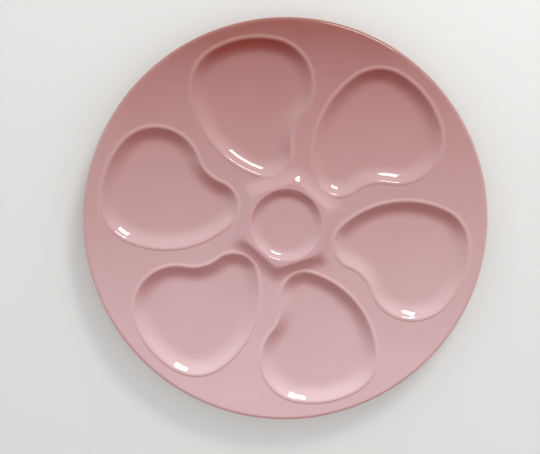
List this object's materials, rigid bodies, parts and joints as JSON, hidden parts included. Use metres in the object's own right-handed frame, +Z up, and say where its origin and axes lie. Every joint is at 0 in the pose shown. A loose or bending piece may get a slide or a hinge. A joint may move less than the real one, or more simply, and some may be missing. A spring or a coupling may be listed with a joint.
{
  "type": "oyster plate",
  "caption": "Round glazed stoneware plate with a ring of comma-shaped, raised-lip wells for oysters around a sauce well in a raised boss, on a bare foot ring.",
  "frame": {"origin": "centre of the foot ring's sole, on the surface that the plate lies on", "axes": "+Z up out of the face, along the plate's axis; +X and +Y to the picture's right and top"},
  "size_m": [0.254, 0.254, 0.0192],
  "materials": {
    "clay": "bare fired clay, matt",
    "glaze": "dusty pink glaze, glossy, warmer and thinner on edges"
  },
  "bodies": {
    "root": {"clay_body": "clay", "face_glaze": "glaze", "well_glaze": "glaze", "back_glaze": "glaze", "base_glaze": "glaze"}
  },
  "joints": []
}
